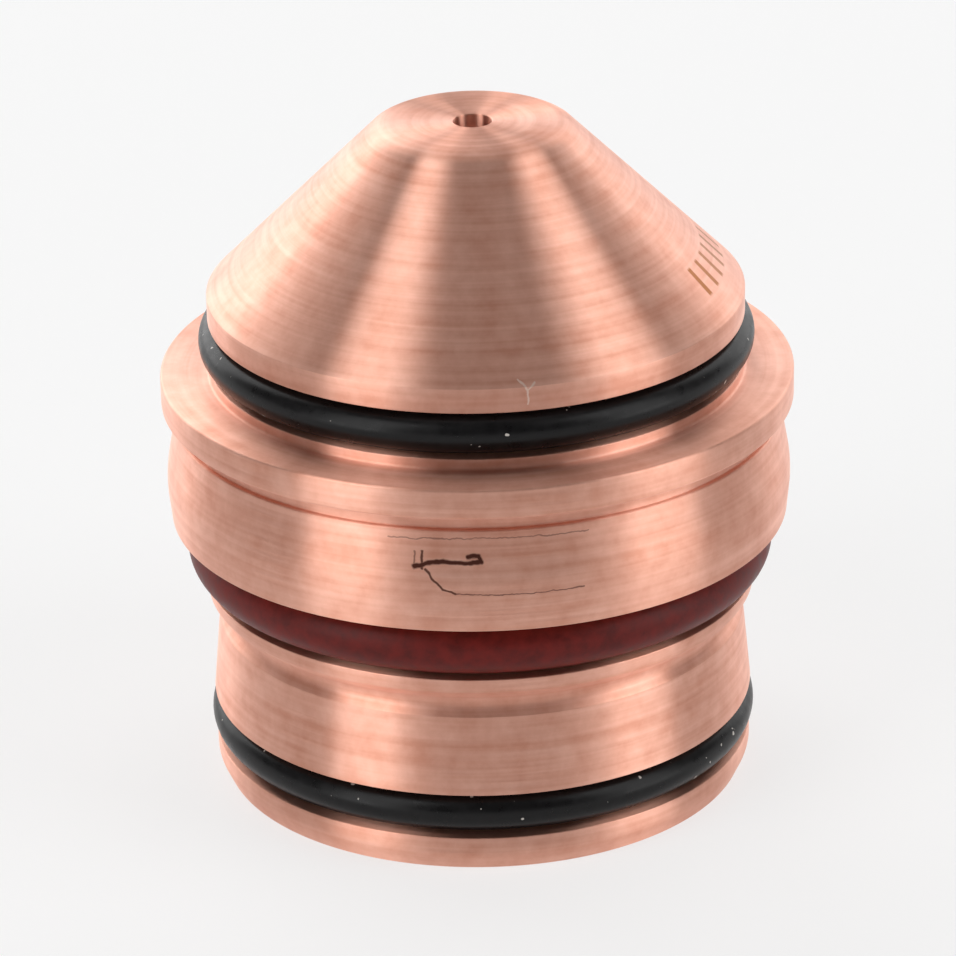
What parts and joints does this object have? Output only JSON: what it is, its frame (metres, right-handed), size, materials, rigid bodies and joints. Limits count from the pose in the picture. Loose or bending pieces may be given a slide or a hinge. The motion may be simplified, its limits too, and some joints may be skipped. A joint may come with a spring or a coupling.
{
  "type": "plasma torch nozzle",
  "caption": "Turned copper nozzle for a plasma cutting torch, with a conical tip, a fine orifice, a flange and O-rings seated in grooves round its body.",
  "frame": {"origin": "centre of the base face, on the nozzle's axis", "axes": "+Z along the nozzle's axis, from the base to the tip; X and Y across it, with no preferred direction because the part is turned"},
  "size_m": [0.029, 0.029, 0.0314],
  "materials": {
    "copper": "bare copper, fine turned",
    "black_rubber": "satin, lightly greased",
    "red_rubber": "satin"
  },
  "bodies": {
    "root": {"nozzle_body": "copper", "front_o_ring": "black_rubber", "middle_o_ring": "red_rubber", "rear_o_ring": "black_rubber"}
  },
  "joints": []
}
